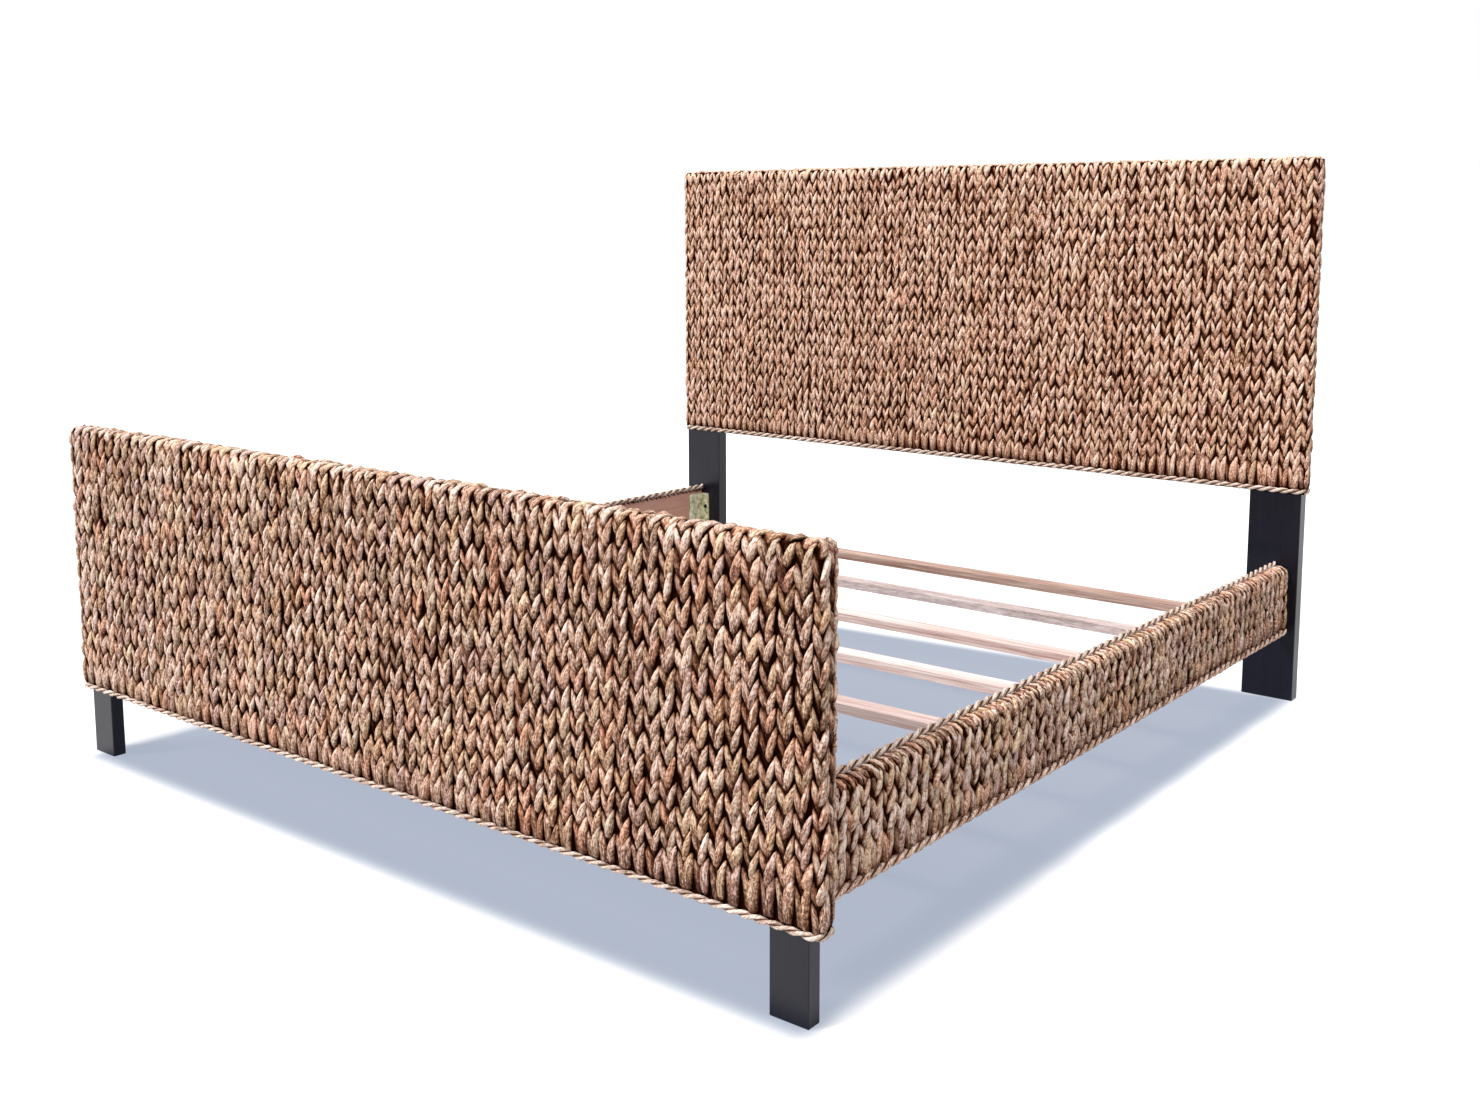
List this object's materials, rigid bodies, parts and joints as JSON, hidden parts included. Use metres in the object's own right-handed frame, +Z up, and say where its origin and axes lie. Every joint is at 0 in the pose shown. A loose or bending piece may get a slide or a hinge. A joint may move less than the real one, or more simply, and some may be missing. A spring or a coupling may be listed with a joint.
{
  "type": "panel bed",
  "caption": "Panel bed with a tall plaited-fibre headboard, a lower footboard, wrapped side rails with hook-on brackets, and wooden slats, on flat dark board legs.",
  "frame": {"origin": "on the floor, below the middle of the bed", "axes": "+X to the right-hand side seen from the foot end, +Y to the headboard, +Z up"},
  "size_m": [2.159, 2.1336, 1.4224],
  "materials": {
    "black_lacquer": "solid board with satin black-brown lacquer",
    "woven_fibre": "plaited water hyacinth, dry and fibrous",
    "fibre_rope": "twisted two-ply fibre rope",
    "frame_wood": "planed softwood, unfinished",
    "plywood": "thin plywood, unfinished",
    "beech_dowel": "beech, unfinished",
    "rail_wood": "reddish-brown board, thin matt varnish",
    "slat_wood": "planed pale hardwood, unfinished",
    "zinc_steel": "yellow zinc plating"
  },
  "bodies": {
    "root": {"headboard_leg_left": "black_lacquer", "headboard_leg_right": "black_lacquer", "footboard_leg_left": "black_lacquer", "footboard_leg_right": "black_lacquer", "headboard_woven_cover": "woven_fibre", "footboard_woven_cover": "woven_fibre", "side_rail_woven_cover_left": "woven_fibre", "side_rail_woven_cover_right": "woven_fibre", "headboard_rope_trim": "fibre_rope", "footboard_rope_trim": "fibre_rope", "side_rail_top_rope_left": "fibre_rope", "side_rail_top_rope_right": "fibre_rope", "side_rail_bottom_rope_left": "fibre_rope", "side_rail_bottom_rope_right": "fibre_rope", "headboard_bottom_cross_board": "frame_wood", "headboard_top_cross_board": "frame_wood", "footboard_bottom_cross_board": "frame_wood", "footboard_top_cross_board": "frame_wood", "headboard_mid_stile_left": "frame_wood", "headboard_mid_stile_right": "frame_wood", "footboard_mid_stile_left": "frame_wood", "footboard_mid_stile_right": "frame_wood", "footboard_end_lath_left": "frame_wood", "footboard_end_lath_right": "frame_wood", "headboard_front_plywood": "plywood", "headboard_back_plywood": "plywood", "footboard_front_plywood": "plywood", "footboard_back_plywood": "plywood", "headboard_dowels": "beech_dowel", "footboard_dowels": "beech_dowel", "side_rail_board_left": "rail_wood", "side_rail_board_right": "rail_wood", "slat_ledger_left": "rail_wood", "slat_ledger_right": "rail_wood", "slat_1": "slat_wood", "slat_2": "slat_wood", "slat_3": "slat_wood", "slat_4": "slat_wood", "slat_5": "slat_wood", "head_rail_bracket_left": "zinc_steel", "head_rail_bracket_right": "zinc_steel", "foot_rail_bracket_left": "zinc_steel", "foot_rail_bracket_right": "zinc_steel", "bracket_screws": "zinc_steel", "hanger_bolts": "zinc_steel", "ledger_screws": "zinc_steel", "slat_screws": "zinc_steel"}
  },
  "joints": []
}
